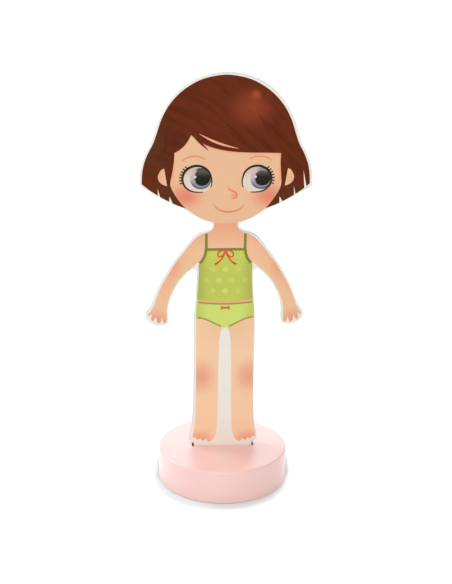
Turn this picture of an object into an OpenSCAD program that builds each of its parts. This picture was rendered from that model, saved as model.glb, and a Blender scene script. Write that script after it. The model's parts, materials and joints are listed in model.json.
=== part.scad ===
// A flat wooden dress-up doll that stands in the slot of a round wooden stand.
// Millimetres. +Z is up, the printed front faces -Y, and the origin is the centre of the stand's underside.

/* [Figure] */
// Height of the figure above the stand
figure_h = 219; // [205:1:235]
// Thickness of the plywood board
board_t = 4; // [3:0.5:6]
// Thickness of the paper sheet glued on each face
sheet_t = 0.3; // [0.2:0.05:0.5]
// Thickness of one layer of printed ink
ink_t = 0.05; // [0.03:0.01:0.1]
// Thickness of the steel sheet let into the board, which holds the clothes' magnets
steel_t = 0.4; // [0.2:0.1:0.8]

/* [Stand] */
// Diameter of the stand
stand_d = 75; // [65:1:90]
// Height of the stand
stand_h = 20; // [18:1:26]
// Radius of the stand's rounded rims
rim_r = 1.2; // [0.6:0.2:2]

/* [Tab and slot] */
// Width of the figure's tab
tab_w = 34; // [28:1:34]
// Depth of the tab in the stand
tab_depth = 12; // [8:1:14]
// Clearance between the tab and each long wall of the slot
slot_gap = 0.2; // [0.1:0.05:0.4]
// Clearance between the tab and each end of the slot
slot_end_gap = 1; // [0.5:0.25:2]

/* [Eyes] */
// Width of one eye, to the middle of its dark line
eye_w = 15.8; // [13:0.2:16]
// Height of one eye, to the middle of its dark line
eye_h = 14.7; // [12.4:0.1:15.4]
// Diameter of the iris
iris_d = 11.9; // [8:0.1:12]
// Diameter of the pupil
pupil_d = 9; // [5:0.2:9]
// How far both irises look to one side
glance = 2.2; // [0:0.1:2.4]

/* [Clothes] */
// Diameter of the dots on the camisole
dot_d = 4.2; // [2:0.2:4.4]
// Distance between dots in a row
dot_pitch = 7.2; // [6:0.2:7.4]
// Width of the trim along the camisole's edges
trim_w = 1.5; // [1:0.1:2]

/* [Hidden] */

// Every outline below is drawn for a figure 219 mm high above the stand, x to the right and y up from the
// stand's top, and is scaled to figure_h. Outlines that are the same on both sides are given as right halves.
drawn_h = 219;
drawn_scale = figure_h / drawn_h;
// Straight steps in each stretch of a curve, between two of its points
curve_steps = 6;
// Straight steps in a rounded rim
rim_steps = 5;
// Straight steps around an ellipse
ellipse_steps = 60;

// Derived places: the board is centred on the slot, and its tab has the corners cut off
front_y = -board_t / 2;
sheet_face_y = front_y - sheet_t;
slot_l = tab_w + 2 * slot_end_gap;
slot_w = board_t + 2 * sheet_t + 2 * slot_gap;
tab_corner = 1.5;

// The board's edge: crown to hair tip, hair tip to neck, then shoulder, arm, hand, arm, side, leg and foot
board_crown = [[0, 219], [8, 218.1], [15.1, 216], [21.8, 212.6], [27.9, 207.5], [33.1, 201], [36.8, 193.7],
               [39.2, 186.8], [41.3, 180.6], [44.1, 175], [46.3, 169.4], [47.4, 163.4], [47.5, 158]];
board_hair_tip = [[47.5, 158], [47.1, 156.6], [45.7, 155.7]];
board_under_hair = [[45.7, 155.7], [36, 149.9], [28.8, 146.2], [22.4, 143.4], [18.3, 140.7], [13.9, 138.1],
                    [9.4, 136.4]];
board_neck = [[9.4, 136.4], [7.6, 135.1], [7.5, 132.9], [9.3, 131.3], [12, 130.4]];
board_arm = [[15.4, 129.4], [18.4, 127], [21.4, 123.3], [25.4, 118], [29.4, 112.6], [33.4, 106.2],
             [37.4, 98.4], [40.2, 91.8], [41.8, 87.8]];
board_hand = [[43.7, 84.5], [45, 82.2], [44.2, 79.4], [41.9, 77.1], [38.8, 75.8], [35.4, 75.7], [32.8, 76.9],
              [32, 79.8], [32.2, 84.6]];
board_inner_arm = [[31.2, 90], [28.8, 96.2], [25.6, 101.8], [22, 106], [19.2, 108.6], [17.4, 109],
                   [16.2, 107.6]];
board_side = [[16, 104], [16.5, 92], [17.3, 82], [17.6, 70], [17.5, 48], [17.7, 27], [18.4, 14.6], [19.4, 9],
              [19.8, 6], [19.2, 3.6]];
board_foot_end = 2.2;

// The printed skin
right_temple = [[29.6, 175.3], [29.5, 170], [29.9, 164]];
left_temple = [[28.7, 175.5], [29, 170.6], [29.9, 164.5]];
cheek = [[30.6, 158.4], [29.8, 155.4], [28.5, 152.8], [26.9, 150.3], [24.9, 147.5], [22.3, 144.4]];
chin = [[22.3, 144.4], [18.3, 141.3], [13.9, 138.7], [9.4, 137], [4.6, 136], [0, 135.7]];
// The cheeks and chin lie a little to the left of the middle
jaw_turn = [-0.4, 0];
ear = [[34, 166.9], [35.7, 166], [36.9, 164.1], [37.5, 162.2], [37.1, 160.2], [35.7, 158.5], [34.2, 157.6],
       [32.4, 157]];
neck_side = [[6.5, 140], [6.5, 134.6], [7, 132.8], [8.4, 131.4], [10.8, 130.3]];
shoulder_and_arm = [[13.9, 129.2], [17, 126.9], [20, 123.4], [24.1, 118.1], [28.1, 112.8], [31.9, 106.5],
                    [36, 99.2], [38.8, 92.2], [40.2, 88]];
fingers = [[[40.2, 88], [42, 84.7], [43.5, 82.9], [43.6, 81.8], [42.6, 81.9], [41.3, 82.8]],
           [[41.3, 82.8], [42, 80.4], [41.6, 78.8], [40.5, 78.9], [39.1, 81.2]],
           [[39.1, 81.2], [38.8, 78.4], [37.6, 77.1], [36.5, 78.2], [36, 81]],
           [[36, 81], [35.4, 78.4], [34.4, 77.2], [33.3, 78], [33.1, 80.6], [33.2, 85], [32.2, 90.4],
            [29.8, 96.6], [26.5, 102.3], [22.8, 106.8], [19, 110], [15.3, 113.2]]];
torso_side = [[15.3, 113.2], [14.6, 108], [14.9, 97], [15.9, 90], [16.3, 84], [16.6, 77], [16.5, 62],
              [16.5, 44], [16.7, 30], [17, 18], [17.8, 10], [18.2, 7.1]];
toes = [[[18.2, 7.1], [18.4, 5.9], [17.6, 5.3], [16.7, 6.2]],
        [[16.7, 6.2], [16.3, 4.7], [15.1, 4.2], [13.8, 5.4]],
        [[13.8, 5.4], [13.3, 3.8], [11.9, 3.5], [10.5, 4.9]],
        [[10.5, 4.9], [9.8, 3], [7.8, 2.9], [5.7, 5.8], [4.5, 11.5], [4, 24], [3.8, 44], [3.4, 62], [2.9, 69],
         [2, 72.8], [0, 75.4]]];
// The body's print ends and the legs' print begins at this height, under the briefs
hip_line = 83;
hip_zone_w = 50;
// The print leans on the board: it moves to the right by this share of the distance below this height, and
// to the left by the same share above it
print_lean = 0.006;
lean_level = 115;

// The printed hair: crown to tip, the cut ends, and the fringe over the brow, which runs from left to right
hair_crown = [[0, 218], [8, 217], [14.4, 215.1], [20.6, 211.7], [26.3, 207.2], [31.6, 200.8], [35.4, 193.6],
              [37.7, 186.8], [39.9, 180.6], [42.9, 174.9], [45, 169.3], [46.1, 163.6], [46.3, 158.2]];
hair_ends = [[46.3, 158.2], [42.1, 154.7], [35.4, 150.4], [28.8, 146.9], [22.3, 144.3]];
hair_inside = [14, 152];
parting = [[-28.7, 175.5], [-25.7, 177.3], [-23, 179.8], [-21.1, 182.6], [-19.7, 185.3]];
fringe = [[-19.7, 185.3], [-17, 183.1], [-13.2, 180.6], [-9.4, 178.9], [-3.9, 177.3], [3.8, 176.1],
          [12.5, 175.6], [21.3, 175.5], [29.6, 175.3]];
fringe_gap = [[-15.4, 186], [-9, 182.6], [-2, 179.9], [6.4, 177.8]];
fringe_gap_w = 1.3;
// Slits where the hair's ends part: the top of each, the middle of its open end, and its width there
hair_slits = [[[42.3, 165.9], [43.9, 154.6], 1.5], [[37.2, 157.1], [38.1, 150.6], 1.1],
              [[29.4, 151], [30.8, 146.2], 2.8], [[-37.9, 155.7], [-36.9, 149.2], 1.6],
              [[-31.4, 151.2], [-30.4, 146], 2.8]];
// Dark strands in the hair, from the crown down
strands = [[[-9, 197.6], [-2.2, 193], [1.7, 189.3], [6, 185.4], [11.6, 182], [16, 179.4]],
           [[4.2, 206.8], [7.8, 204.3], [12.6, 200.8], [16.3, 197.1], [20, 191.3], [22.7, 186.8],
            [25.4, 182.4]],
           [[-33.5, 189.7], [-33.3, 185.4], [-33.4, 181], [-34.3, 176.8], [-36.8, 173.8], [-39.5, 171.1]]];
strand_w = 0.7;
loose_strand = [[-20, 186.2], [-16, 182.3], [-13, 179.5], [-10.1, 176.7]];
loose_strand_w = 1.2;

// The printed face, whose eyes and brows lie a little to the right of the middle
face_turn = [0.15, 0];
eye_at = [16.6, 160.95];
// Each eye is an ellipse drawn out at its lower inner corner: the corner's angle, how far and over what angle
eye_corner_at = 222;
eye_corner_pull = 0.16;
eye_corner_reach = 55;
// The dark line runs from low on the eye's inner side over the top to under the eye, by these angles
eye_line_from = 214;
eye_line_to = -114;
eye_line_w = 1.35;
eye_line_tip = 0.4;
iris_shift = [glance, 0.2];
pupil_shift = iris_shift + [0.7, 0.5];
glint_shift = iris_shift + [-3.2, 1];
glint_d = 1.7;
// Lashes on the outer side of each eye: angles above the horizontal
lash_angles = [-17 : 11 : 49];
lash_l = 1.9;
lash_w = 0.7;
brow = [[24.7, 171.1], [21.9, 172.9], [18.1, 173.6], [14.8, 173.2], [12.1, 171.9]];
nose = [[0.3, 157.7], [0.8, 156.1], [1.7, 154.9], [3.5, 154.1], [5.1, 153.1], [5.7, 151.7], [5, 150.3],
        [2.5, 149.4]];
mouth = [[-7.3, 146.8], [-5.6, 144.6], [-2.8, 142.9], [1.3, 142.2], [5.2, 142.8], [8, 144.3], [9.8, 146.4]];
face_line_w = 0.9;
// Share of a line's width left at its two ends: on the brows, the nose and mouth, and in the hair
brow_tip = 0.6;
face_line_tip = 0.3;
hair_line_tip = 0.1;

// The printed clothes
// The camisole's hem, side and armhole, its straps and trim, and rows of dots: count and height
camisole_hem = [[0, 90.1], [8, 90.4], [15.9, 91.3]];
camisole_side = [[15.9, 91.3], [15.4, 98], [15, 106], [15.2, 111.5]];
armhole = [[15.2, 111.5], [13.5, 113.8], [12.3, 117], [11.8, 121]];
strap_x = 10.9;
strap_top = 129.8;
neckline = 120.6;
armhole_trim = [[strap_x, strap_top], [strap_x, 125], [10.9, 121], [11.5, 117.6], [12.7, 114.8],
                [14.4, 112.5]];
dot_rows = [[3, 109], [4, 102.6], [3, 96.2]];
// The ribbon bow: one loop and one tail, from its knot
bow_at = [0, 119.4];
bow_loop = [[0.5, 0.4], [2.6, 0.5], [4.3, -1.2], [3.8, -3.1], [1.9, -2.6], [0.5, -0.4]];
bow_tail = [[0.3, -0.2], [1.5, -3.2], [3.3, -5.7], [5.9, -7.6]];
ribbon_w = 0.8;
// Share of the ribbon's width at a tail's ends
tail_flare = 1.6;
knot_w = 1.8;
// The briefs' waist, side and leg opening, with their trims and a small flat bow
briefs_waist = [[0, 88.8], [8, 89.1], [16, 90]];
briefs_side = [[16, 90], [16.4, 85], [16.6, 79.8]];
leg_opening = [[16.6, 79.8], [12.6, 79.2], [9.6, 78], [5.8, 76.1], [1.9, 74.1]];
waist_trim = [[0, 88.3], [8, 88.6], [15.4, 89.4]];
leg_trim = [[15.8, 80.3], [12.6, 79.7], [9.6, 78.5], [5.8, 76.6], [2.3, 74.8]];
briefs_trim_w = 0.9;
briefs_bow_at = [0.2, 86];
briefs_bow_wing = [[0.2, -0.4], [2.6, -1.3], [2.6, 1.3], [0.2, 0.4]];
briefs_knot_d = 1.2;

// The steel sheet, let into the board's front: a head disc, a body strip and an arm strip
steel_head_at = [0, 180];
steel_head_w = 76;
steel_head_h = 66;
steel_body = [[13, 6], [13, 126], [4, 128], [4, 150]];
steel_arm = [[10, 123], [20, 117], [29.6, 103.5], [37, 87]];
steel_arm_w = 5;

// Outline functions

// A point at t, 0 to 1, on the smooth curve that runs from b to c on its way from a to d
function curve_point(a, b, c, d, t) =
    (2 * b + (c - a) * t + (2 * a - 5 * b + 4 * c - d) * t * t + (3 * b - a - 3 * c + d) * t * t * t) / 2;

// A smooth open curve through all the points of a run, without its last point, so that runs can be chained
function smooth(run) = let (last = len(run) - 1)
    [for (i = [0 : last - 1])
        let (b = run[i], c = run[i + 1])
        let (a = i == 0 ? 2 * b - c : run[i - 1], d = i == last - 1 ? 2 * c - b : run[i + 2])
        for (k = [0 : curve_steps - 1]) curve_point(a, b, c, d, k / curve_steps)];

// The same curve with its last point
function smooth_to_end(run) = concat(smooth(run), [run[len(run) - 1]]);

// Runs joined end to end, with a corner wherever one run ends and the next begins
function chain(runs) = [for (run = runs) each smooth(run)];

function mirrored(points) = [for (i = [len(points) - 1 : -1 : 0]) [-points[i].x, points[i].y]];

// Two runs made into one, where the second begins at the point where the first ends
function joined(first, second) = concat(first, [for (i = [1 : len(second) - 1]) second[i]]);

// A run that crosses the centre line, from a right half that starts on it
function across(half) = joined(mirrored(half), half);

function on_ellipse(centre, w, h, angle) = centre + [w * cos(angle), h * sin(angle)] / 2;

function ellipse(centre, w, h) =
    [for (i = [0 : ellipse_steps - 1]) on_ellipse(centre, w, h, 360 * i / ellipse_steps)];

// A point on the outline of the right eye
function on_eye(angle) =
    let (turn = abs(angle - eye_corner_at), off = min(turn, 360 - turn) / eye_corner_reach)
    let (size = 1 + (off < 1 ? eye_corner_pull * pow(cos(90 * off), 2) : 0))
    on_ellipse(eye_at, size * eye_w, size * eye_h, angle);

function eye_arc(from, to) = [for (i = [0 : ellipse_steps]) on_eye(from + (to - from) * i / ellipse_steps)];

function moved(points, by) = [for (p = points) p + by];

// Points moved sideways with the print's lean
function leaned(points) = [for (p = points) p + [print_lean * (lean_level - p.y), 0]];

// The outline of a line of width w drawn along points, whose ends narrow to the share tip of that width
function stroke(points, w, tip = 1) =
    let (last = len(points) - 1)
    let (sides = [for (i = [0 : last])
        let (along = points[min(i + 1, last)] - points[max(i - 1, 0)])
        [-along.y, along.x] / norm(along) * w / 2 * (tip + (1 - tip) * sin(180 * i / last))])
    concat([for (i = [0 : last]) points[i] - sides[i]], [for (i = [last : -1 : 0]) points[i] + sides[i]]);

// Flat outlines

module shape(points) {
    polygon(drawn_scale * points);
}

// A shape and its mirror image, both wound the same way so that they join with their neighbours
module pair(points) {
    shape(points);
    shape(mirrored(points));
}

// The same with the print's lean
module leaned_pair(points) {
    shape(leaned(points));
    shape(leaned(mirrored(points)));
}

module board_outline() {
    foot = [tab_w / 2 / drawn_scale, board_foot_end];
    edge = concat(board_neck, board_arm, board_hand, board_inner_arm, board_side, [foot]);
    runs = [board_hair_tip, board_under_hair, edge];
    right = concat(chain(runs), [foot, [foot.x, (tab_corner - tab_depth) / drawn_scale],
                                 [foot.x - tab_corner / drawn_scale, -tab_depth / drawn_scale]]);
    shape(concat(smooth(across(board_crown)), right, mirrored(right)));
}

module face_outline() {
    right = concat(right_temple, moved(cheek, jaw_turn));
    jaw = moved(joined(chin, mirrored(chin)), jaw_turn);
    left = concat(moved(mirrored(cheek), jaw_turn), mirrored(left_temple));
    shape(chain([fringe, right, jaw, left, parting]));
}

module body_outline() {
    right = chain(concat([concat(neck_side, shoulder_and_arm)], fingers, [torso_side], toes));
    shape(leaned(concat(right, [toes[3][len(toes[3]) - 1]], mirrored(right))));
}

module hip_zone() {
    right = [[hip_zone_w / 2, 0], [hip_zone_w / 2, hip_line]];
    shape(concat(right, mirrored(right)));
}

module hair_outline() {
    ends = concat(smooth_to_end(hair_ends), [hair_inside]);
    shape(leaned(concat(smooth(across(hair_crown)), ends, mirrored(ends))));
}

module ears_outline() {
    leaned_pair(smooth_to_end(ear));
}

module fringe_gap_outline() {
    shape(stroke(smooth_to_end(fringe_gap), fringe_gap_w, hair_line_tip));
}

module hair_slits_outline() {
    for (slit = hair_slits)
        shape([slit[0], slit[1] - [slit[2] / 2, 0], slit[1] + [slit[2] / 2, 0]]);
}

module camisole_outline() {
    side = concat(smooth(camisole_side), smooth_to_end(armhole));
    shape(concat(smooth(across(camisole_hem)), side, mirrored(side)));
}

module bow_outline() {
    translate(drawn_scale * bow_at) {
        pair(stroke(smooth_to_end(bow_loop), ribbon_w));
        pair(stroke(smooth_to_end(bow_tail), ribbon_w, tail_flare));
        shape(ellipse([0, 0], knot_w, knot_w));
    }
}

module briefs_outline() {
    side = mirrored(concat(smooth(briefs_side), smooth_to_end(leg_opening)));
    shape(leaned(concat(side, smooth(across(briefs_waist)), mirrored(side))));
}

// The dark line and the lashes of both eyes
module eye_line_outline() {
    translate(drawn_scale * face_turn) {
        pair(stroke(eye_arc(eye_line_from, eye_line_to), eye_line_w, eye_line_tip));
        for (a = lash_angles) {
            root = on_eye(a);
            pair(stroke([root, root + lash_l * [cos(a), sin(a)]], lash_w));
        }
    }
}

// The opening of both eyes inside the dark line
module eye_opening() {
    difference() {
        translate(drawn_scale * face_turn)
            pair([for (i = [1 : ellipse_steps]) on_eye(360 * i / ellipse_steps)]);
        eye_line_outline();
    }
}

// Discs of diameter d on both eyes, moved the same way from the eyes' middles
module eye_discs(shift, d) {
    for (side = [-1, 1])
        shape(ellipse([side * eye_at.x, eye_at.y] + face_turn + shift, d, d));
}

module steel_outline() {
    shape(ellipse(steel_head_at, steel_head_w, steel_head_h));
    shape(concat(steel_body, mirrored(steel_body)));
    pair(stroke(steel_arm, steel_arm_w));
}

// Solids

// A flat solid of thickness t whose back lies at y, with its outline standing on the stand
module plate(y, t) {
    translate([0, y, stand_h]) rotate([90, 0, 0]) linear_extrude(t) children();
}

// A film of ink on the front sheet, above the given number of earlier layers
module ink(layers_below = 0) {
    plate(sheet_face_y - layers_below * ink_t, ink_t) children();
}

module stand_disc() {
    r = stand_d / 2;
    rim = [for (i = [0 : rim_steps]) let (a = 90 * i / rim_steps) rim_r * [cos(a), sin(a)]];
    upper = [for (p = rim) [r - rim_r, stand_h - rim_r] + p];
    lower = [for (i = [rim_steps : -1 : 0]) [r - rim_r + rim[i].x, rim_r - rim[i].y]];
    color([0.95, 0.80, 0.77]) difference() {
        rotate_extrude($fn = 128) polygon(concat([[0, 0]], lower, upper, [[0, stand_h]]));
        translate([-slot_l / 2, -slot_w / 2, stand_h - tab_depth]) cube([slot_l, slot_w, tab_depth + 1]);
    }
}

module figure_board() {
    color([0.93, 0.88, 0.80]) difference() {
        plate(board_t / 2, board_t) board_outline();
        plate(front_y + steel_t, steel_t) steel_outline();
    }
}

module steel_sheet() {
    color([0.62, 0.64, 0.66]) plate(front_y + steel_t, steel_t) steel_outline();
}

module front_sheet() {
    color([0.95, 0.93, 0.90]) plate(front_y, sheet_t) board_outline();
}

module back_sheet() {
    color([0.95, 0.93, 0.90]) plate(board_t / 2 + sheet_t, sheet_t) board_outline();
}

skin = [0.94, 0.76, 0.60];

module face_print() {
    color(skin) ink() {
        face_outline();
        fringe_gap_outline();
    }
}

module ears_print() {
    color(skin) ink() ears_outline();
}

// The neck, shoulders and arms, and the strip of waist between the clothes
module body_print() {
    color(skin) ink() difference() {
        body_outline();
        face_outline();
        camisole_outline();
        briefs_outline();
        hip_zone();
    }
}

module legs_print() {
    color(skin) ink() difference() {
        intersection() {
            body_outline();
            hip_zone();
        }
        briefs_outline();
    }
}

module hair_print() {
    color([0.40, 0.17, 0.09]) ink() difference() {
        hair_outline();
        face_outline();
        fringe_gap_outline();
        ears_outline();
        hair_slits_outline();
    }
}

module hair_strands_print() {
    color([0.31, 0.12, 0.06]) ink(1) {
        for (run = strands) shape(stroke(smooth_to_end(run), strand_w, hair_line_tip));
        shape(stroke(smooth_to_end(loose_strand), loose_strand_w, hair_line_tip));
    }
}

module eye_outline_print() {
    color([0.16, 0.14, 0.13]) ink(1) eye_line_outline();
}

module eye_white_print() {
    color([0.93, 0.88, 0.82]) ink(1) eye_opening();
}

module iris_print() {
    color([0.60, 0.57, 0.63]) ink(2) intersection() {
        eye_opening();
        eye_discs(iris_shift, iris_d);
    }
}

module pupil_print() {
    color([0.14, 0.13, 0.12]) ink(3) difference() {
        intersection() {
            eye_opening();
            eye_discs(pupil_shift, pupil_d);
        }
        eye_discs(glint_shift, glint_d);
    }
}

module eye_glint_print() {
    color([0.85, 0.82, 0.86]) ink(3) eye_discs(glint_shift, glint_d);
}

module eyebrows_print() {
    color([0.85, 0.55, 0.42]) ink(1) translate(drawn_scale * face_turn)
        pair(stroke(smooth_to_end(brow), face_line_w, brow_tip));
}

module nose_print() {
    color([0.89, 0.52, 0.42]) ink(1) shape(stroke(smooth_to_end(nose), face_line_w, face_line_tip));
}

module mouth_print() {
    color([0.87, 0.42, 0.35]) ink(1) shape(stroke(smooth_to_end(mouth), face_line_w, face_line_tip));
}

module camisole_print() {
    color([0.75, 0.78, 0.36]) ink() camisole_outline();
}

module camisole_dots_print() {
    color([0.82, 0.85, 0.43]) ink(1) for (row = dot_rows)
        for (i = [0 : row[0] - 1])
            shape(ellipse([(i - (row[0] - 1) / 2) * dot_pitch, row[1]], dot_d, dot_d));
}

module camisole_trim_print() {
    color([0.53, 0.50, 0.25]) ink(1) difference() {
        union() {
            shape(stroke([[-strap_x, neckline], [strap_x, neckline]], trim_w));
            pair(stroke(smooth_to_end(armhole_trim), trim_w));
        }
        bow_outline();
    }
}

module camisole_bow_print() {
    color([0.86, 0.37, 0.29]) ink(1) bow_outline();
}

module briefs_print() {
    color([0.82, 0.86, 0.44]) ink() briefs_outline();
}

module briefs_trim_print() {
    color([0.60, 0.57, 0.29]) ink(1) {
        shape(leaned(stroke(smooth_to_end(across(waist_trim)), briefs_trim_w)));
        leaned_pair(stroke(smooth_to_end(leg_trim), briefs_trim_w));
    }
}

module briefs_bow_print() {
    color([0.86, 0.42, 0.26]) ink(1) translate(drawn_scale * briefs_bow_at) {
        pair(briefs_bow_wing);
        shape(ellipse([0, 0], briefs_knot_d, briefs_knot_d));
    }
}

stand_disc();
figure_board();
steel_sheet();
front_sheet();
back_sheet();
face_print();
ears_print();
body_print();
legs_print();
hair_print();
hair_strands_print();
eye_outline_print();
eye_white_print();
iris_print();
pupil_print();
eye_glint_print();
eyebrows_print();
nose_print();
mouth_print();
camisole_print();
camisole_dots_print();
camisole_trim_print();
camisole_bow_print();
briefs_print();
briefs_trim_print();
briefs_bow_print();
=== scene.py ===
import json
from math import radians, tau

import bpy
from mathutils import Matrix, Vector

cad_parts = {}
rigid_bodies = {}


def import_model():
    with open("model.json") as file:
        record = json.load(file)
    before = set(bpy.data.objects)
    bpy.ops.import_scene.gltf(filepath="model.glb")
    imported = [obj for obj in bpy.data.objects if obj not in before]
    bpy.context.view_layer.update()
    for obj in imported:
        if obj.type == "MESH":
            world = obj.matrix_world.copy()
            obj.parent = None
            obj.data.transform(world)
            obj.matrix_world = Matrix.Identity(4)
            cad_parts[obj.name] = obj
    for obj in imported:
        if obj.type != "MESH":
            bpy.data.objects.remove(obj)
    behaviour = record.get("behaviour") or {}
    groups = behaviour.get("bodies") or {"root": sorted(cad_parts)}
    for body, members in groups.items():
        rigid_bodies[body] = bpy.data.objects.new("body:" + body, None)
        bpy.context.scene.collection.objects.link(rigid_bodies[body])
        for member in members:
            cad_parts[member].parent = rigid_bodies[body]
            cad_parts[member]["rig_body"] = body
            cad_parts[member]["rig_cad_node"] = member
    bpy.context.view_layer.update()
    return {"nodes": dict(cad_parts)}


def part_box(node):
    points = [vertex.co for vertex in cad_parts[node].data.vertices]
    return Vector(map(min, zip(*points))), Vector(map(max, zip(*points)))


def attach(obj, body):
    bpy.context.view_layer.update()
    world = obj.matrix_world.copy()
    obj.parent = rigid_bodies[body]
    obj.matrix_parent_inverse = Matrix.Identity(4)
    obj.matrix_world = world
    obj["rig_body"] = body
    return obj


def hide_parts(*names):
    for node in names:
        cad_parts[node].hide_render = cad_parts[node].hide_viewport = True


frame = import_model()

# Camera
# The photograph looks down on the doll at about 19 degrees with a short telephoto lens. The camera stands
# a little to the left of the doll's middle, as the front is seen, and is rolled by less than a degree.
camera_place = Vector((-0.0571, -0.6691, 0.3421))
camera_turn = radians(4.94)
camera_tilt = radians(18.71)
camera_roll = radians(0.87)
camera_lens = 77.05
bpy.ops.object.camera_add(location=camera_place)
camera = bpy.context.object
camera.name = "camera"
camera.data.lens = camera_lens
camera.matrix_world = (
    Matrix.Translation(camera_place)
    @ Matrix.Rotation(-camera_turn, 4, "Z")
    @ Matrix.Rotation(radians(90) - camera_tilt, 4, "X")
    @ Matrix.Rotation(camera_roll, 4, "Z")
)
bpy.context.scene.camera = camera
bpy.context.scene.view_settings.view_transform = "Standard"

# White studio
# A seamless white floor under a soft white tent of light. A wide lamp stands in front of the doll, two
# smaller ones at the left, and a bright screen behind it glares in the stand's glossy top. The floor glows
# white except by the stand: there the glow is turned down, which shows the stand's rendered shadow and adds
# painted shade in front of it, and the floor is painted darker where a shade falls back behind it.
mm = 0.001
tent_light = 0.60
backdrop_light = 1.0
lamp_target = Vector((0.0, 0.0, 0.08))
white = (1.0, 1.0, 1.0)
cool_white = (0.80, 0.91, 1.0)
floor_size = 6.0
floor_drop = 0.05 * mm
# The floor's colour for light it throws back, as it is seen, and in the painted shadow behind the stand
floor_bounce = (0.70, 0.745, 0.755, 1)
floor_seen = (0.60, 0.635, 0.645, 1)
floor_painted_shadow = (0.32, 0.335, 0.34, 1)
# The floor's glow by the stand and away from it: the low glow by the stand paints shade round it
glow_by_stand = 0.18
glow_away = 0.9
# A painted shade's reach and start each give where it is nothing, and then where it is full
front_shade_middle = (-2.5 * mm, -6 * mm)
front_shade_reach = (47 * mm, 34 * mm)
back_shade_reach = (43.5 * mm, 36.5 * mm)
back_shade_start = (-17.5 * mm, 8 * mm)
back_shade_length = 18 * mm
# The painted shade behind the stand starts on a slant, sooner at the right, and leans right as it falls back
back_shade_slant = 0.13
back_shade_lean = 0.08


def place(tree, kind, sockets=None, **settings):
    """Adds a shader node; each socket named takes a plain value or another node's output."""
    node = tree.nodes.new(kind)
    for name, value in settings.items():
        setattr(node, name, value)
    for name, value in (sockets or {}).items():
        if isinstance(value, bpy.types.NodeSocket):
            tree.links.new(value, node.inputs[name])
        else:
            node.inputs[name].default_value = value
    return node


def sums(tree, operation, *terms):
    """Adds a math node and gives back its result."""
    return place(tree, "ShaderNodeMath", dict(enumerate(terms)), operation=operation).outputs[0]


def fade(tree, value, start, end, low=0.0, high=1.0):
    """Runs smoothly from low, where the value is at start, to high, where it is at end."""
    sockets = {"Value": value, "From Min": start, "From Max": end, "To Min": low, "To Max": high}
    return place(tree, "ShaderNodeMapRange", sockets, interpolation_type="SMOOTHSTEP").outputs[0]


def over(tree, below, above, mask):
    """Lays one colour over another where the mask says; a Mix node's sockets for colours go by number."""
    factor, first, second, result = 0, 6, 7, 2
    sockets = {factor: mask, first: below, second: above}
    return place(tree, "ShaderNodeMix", sockets, data_type="RGBA").outputs[result]


def here(tree):
    """The place on the object of the point being shaded, in metres."""
    return place(tree, "ShaderNodeTexCoord").outputs["Object"]


def split(tree, position):
    """The x, y and z of a place."""
    return tuple(place(tree, "ShaderNodeSeparateXYZ", {0: position}).outputs)


def away(tree, across, up):
    """How far a place lies from the point that across and up are counted from."""
    flat = place(tree, "ShaderNodeCombineXYZ", {"X": across, "Y": up}).outputs[0]
    return place(tree, "ShaderNodeVectorMath", {0: flat}, operation="LENGTH").outputs["Value"]


def seen_directly(tree):
    """1 for rays that come from the camera, a mirror or clear glass, and 0 for rays that carry light."""
    rays = place(tree, "ShaderNodeLightPath").outputs
    mirrored = sums(tree, "MAXIMUM", rays["Is Glossy Ray"], rays["Is Transmission Ray"])
    return sums(tree, "MAXIMUM", rays["Is Camera Ray"], mirrored)


def add_lamp(name, lamp_place, size, power, tint):
    """Hangs a square soft lamp that points at the doll."""
    aim = (lamp_target - Vector(lamp_place)).to_track_quat("-Z", "Y").to_euler()
    bpy.ops.object.light_add(type="AREA", location=lamp_place, rotation=aim)
    lamp = bpy.context.object
    lamp.name = name
    lamp.data.size = size
    lamp.data.energy = power
    lamp.data.color = tint
    lamp.visible_camera = False


world = bpy.data.worlds.new("white_tent")
bpy.context.scene.world = world
world.use_nodes = True
tent = world.node_tree
tent.nodes.clear()
lighting = place(tent, "ShaderNodeBackground", {"Color": (*white, 1), "Strength": tent_light}).outputs[0]
backdrop = place(tent, "ShaderNodeBackground", {"Color": (*white, 1), "Strength": backdrop_light}).outputs[0]
tent_mix = place(tent, "ShaderNodeMixShader", {0: seen_directly(tent), 1: lighting, 2: backdrop}).outputs[0]
place(tent, "ShaderNodeOutputWorld", {"Surface": tent_mix})

add_lamp("front_lamp", (-0.05, -0.98, 0.62), size=0.90, power=5.4, tint=white)
add_lamp("left_lamp", (-0.85, -0.10, 0.35), size=0.70, power=1.2, tint=white)
add_lamp("back_lamp", (-0.68, 0.42, 0.58), size=0.40, power=4.0, tint=cool_white)
add_lamp("glare_screen", (0.05, 1.10, 0.54), size=0.90, power=2.9, tint=cool_white)

bpy.ops.object.select_all(action="DESELECT")
bpy.ops.mesh.primitive_plane_add(size=floor_size, location=(0, 0, -floor_drop))
floor = bpy.context.object
floor.name = "floor"
bpy.ops.object.transform_apply(location=True, rotation=True, scale=True)
floor_finish = bpy.data.materials.new("white_floor")
floor_finish.use_nodes = True
floor_tree = floor_finish.node_tree
floor_tree.nodes.clear()
floor_x, floor_y = split(floor_tree, here(floor_tree))[:2]
front_x = sums(floor_tree, "SUBTRACT", floor_x, front_shade_middle[0])
front_y = sums(floor_tree, "SUBTRACT", floor_y, front_shade_middle[1])
# Painted shade: by the stand the glow is turned down, darkening the floor beyond its rendered shadow
painted_front_shade = fade(floor_tree, away(floor_tree, front_x, front_y), *front_shade_reach)
behind = sums(floor_tree, "MINIMUM", sums(floor_tree, "MAXIMUM", floor_y, 0.0), back_shade_length)
back_x = sums(floor_tree, "MULTIPLY_ADD", floor_y, -back_shade_lean, floor_x)
back_y = sums(floor_tree, "SUBTRACT", floor_y, behind)
slanting = sums(floor_tree, "MULTIPLY_ADD", floor_x, back_shade_slant, floor_y)
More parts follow.
